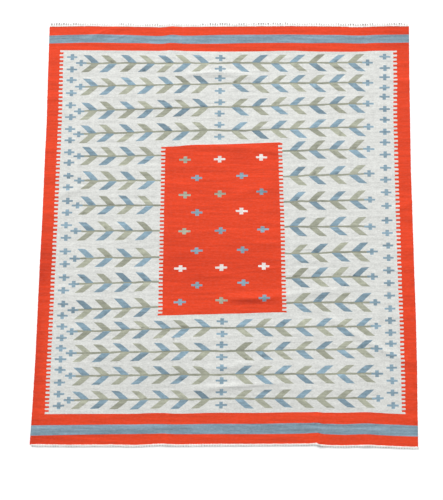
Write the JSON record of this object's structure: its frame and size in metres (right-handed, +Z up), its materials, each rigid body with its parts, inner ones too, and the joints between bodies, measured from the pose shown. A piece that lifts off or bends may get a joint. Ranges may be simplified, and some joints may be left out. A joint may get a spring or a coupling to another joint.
{
  "type": "soumak rug",
  "caption": "Room-size flat-woven wool rug, lying flat: striped coral and blue ends, comb-edged borders, leafy sprig field, plain centre panel, knotted warp ends.",
  "frame": {"origin": "centre of the rug's bounding box in plan, on the floor plane under its flat underside", "axes": "+X across the rug, +Y along its warps towards the end furthest from the camera, +Z up"},
  "size_m": [2.456, 2.8218, 0.0125],
  "materials": {
    "ivory_wool": "matte hand-spun wool weft, mostly ivory, with coral, blue-grey and sage areas woven in",
    "warp_cotton": "matte cream cotton warps, knotted and cut short"
  },
  "bodies": {
    "root": {"rug_cloth": "ivory_wool", "far_warp_knots": "warp_cotton", "near_warp_knots": "warp_cotton"}
  },
  "joints": []
}
